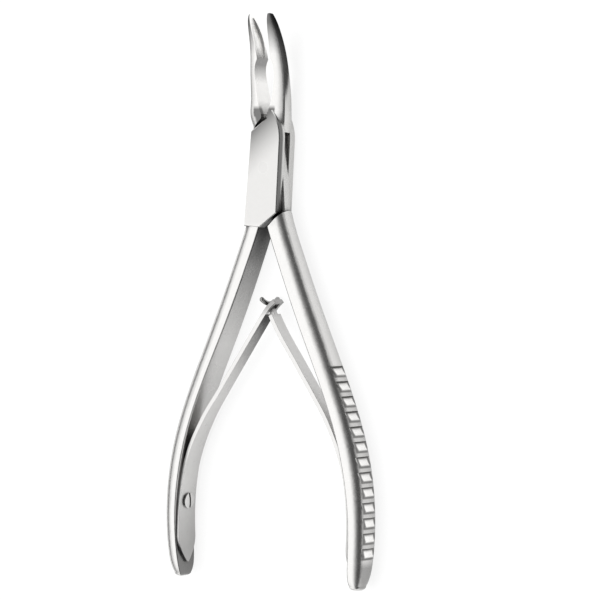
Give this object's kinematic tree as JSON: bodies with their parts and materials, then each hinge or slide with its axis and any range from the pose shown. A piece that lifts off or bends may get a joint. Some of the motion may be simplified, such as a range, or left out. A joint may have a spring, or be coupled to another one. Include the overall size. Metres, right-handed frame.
{
  "type": "bone rongeur",
  "caption": "Single-action bone rongeur: two steel arms crossed in a box lock, upturned spoon jaws, grooved handles held open by interlocking leaf springs.",
  "frame": {"origin": "on the pivot axis, at the flat back face of the box lock", "axes": "+Z out of the front face along the pivot axis, +Y towards the jaw tips, +X towards the right handle; the instrument lies on its back"},
  "size_m": [0.0604, 0.1409, 0.0102],
  "materials": {
    "arm_steel": "satin, fine bead-blasted and brushed stainless steel",
    "pin_steel": "satin, ground flush with the joint",
    "spring_steel": "polished spring steel with fine lengthwise grain",
    "screw_steel": "turned and polished, slotted head"
  },
  "bodies": {
    "slotted_arm": {"box_arm": "arm_steel", "pivot_pin": "pin_steel", "left_leaf_spring": "spring_steel", "left_spring_screw": "screw_steel"},
    "crossing_arm": {"through_arm": "arm_steel", "right_leaf_spring": "spring_steel", "right_spring_screw": "screw_steel"}
  },
  "joints": [
    {"name": "jaw_pivot", "type": "hinge", "parent": "slotted_arm", "child": "crossing_arm", "pos_m": [0, 0, 0.0035], "axis": [0, 0, -1], "range_deg": [0, 8], "stiffness_Nm_per_rad": 4, "springref_deg": -5.73, "deforming": ["left_leaf_spring", "right_leaf_spring"]}
  ]
}
